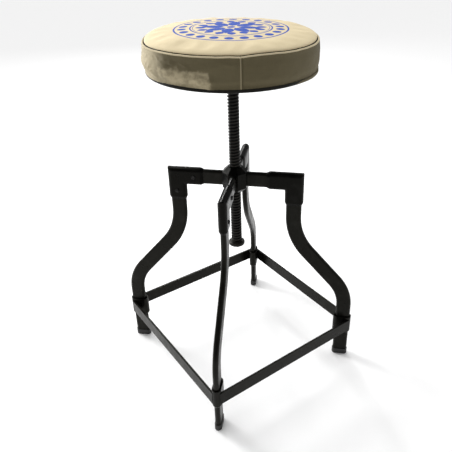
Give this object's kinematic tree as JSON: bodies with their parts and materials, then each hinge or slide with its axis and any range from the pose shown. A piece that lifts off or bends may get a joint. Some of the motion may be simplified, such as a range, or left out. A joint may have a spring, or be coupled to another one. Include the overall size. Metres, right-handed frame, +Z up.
{
  "type": "machinist stool",
  "caption": "Height-adjustable round stool: a padded fabric seat on a coarse screw in a threaded hub, on splayed bent flat-oval legs braced by a low square footrest.",
  "frame": {"origin": "on the floor, on the axis of the seat screw", "axes": "+Z up along the seat screw, +X towards one leg"},
  "size_m": [0.587, 0.587, 0.8345],
  "materials": {
    "frame_steel": "satin black powder coat",
    "frame_iron": "satin black powder coat on cast iron",
    "screw_steel": "blackened turned steel, oiled",
    "black_fastener": "black oxide",
    "foot_plastic": "matt moulded black",
    "plywood": "plain plywood",
    "foam": "dense open-cell pad",
    "canvas": "heavy cream canvas",
    "printed_canvas": "heavy cream canvas with a plain blue ring pattern"
  },
  "bodies": {
    "base": {"hub": "frame_iron", "arm_right": "frame_steel", "elbow_right": "frame_iron", "leg_right": "frame_steel", "collar_right": "frame_steel", "foot_cap_right": "foot_plastic", "arm_rear": "frame_steel", "elbow_rear": "frame_iron", "leg_rear": "frame_steel", "collar_rear": "frame_steel", "foot_cap_rear": "foot_plastic", "arm_left": "frame_steel", "elbow_left": "frame_iron", "leg_left": "frame_steel", "collar_left": "frame_steel", "foot_cap_left": "foot_plastic", "arm_front": "frame_steel", "elbow_front": "frame_iron", "leg_front": "frame_steel", "collar_front": "frame_steel", "foot_cap_front": "foot_plastic", "foot_bar_rear_right": "frame_steel", "foot_bar_rear_left": "frame_steel", "foot_bar_front_left": "frame_steel", "foot_bar_front_right": "frame_steel", "elbow_screws": "black_fastener"},
    "stop": {"stop_washer": "screw_steel"},
    "seat": {"stop_bolt": "black_fastener", "screw_spindle": "screw_steel", "seat_flange": "frame_steel", "seat_bolts": "black_fastener", "board_nuts": "black_fastener", "seat_pan": "frame_steel", "seat_board": "plywood", "seat_foam": "foam", "seat_cover_band": "canvas", "seat_cover_top": "printed_canvas", "seat_seam": "canvas"}
  },
  "joints": [
    {"name": "seat_rise", "type": "slide", "parent": "base", "child": "stop", "axis": [0, 0, 1], "range_m": [-0.2002, 0.1372]},
    {"name": "seat_turn", "type": "hinge", "parent": "stop", "child": "seat", "pos_m": [0, 0, 0.5], "axis": [0, 0, 1], "range_deg": [-9917, 6793]}
  ],
  "couplings": [
    {"joint": "seat_rise", "follows": "seat_turn", "m_per_rad": 0.0011555}
  ]
}
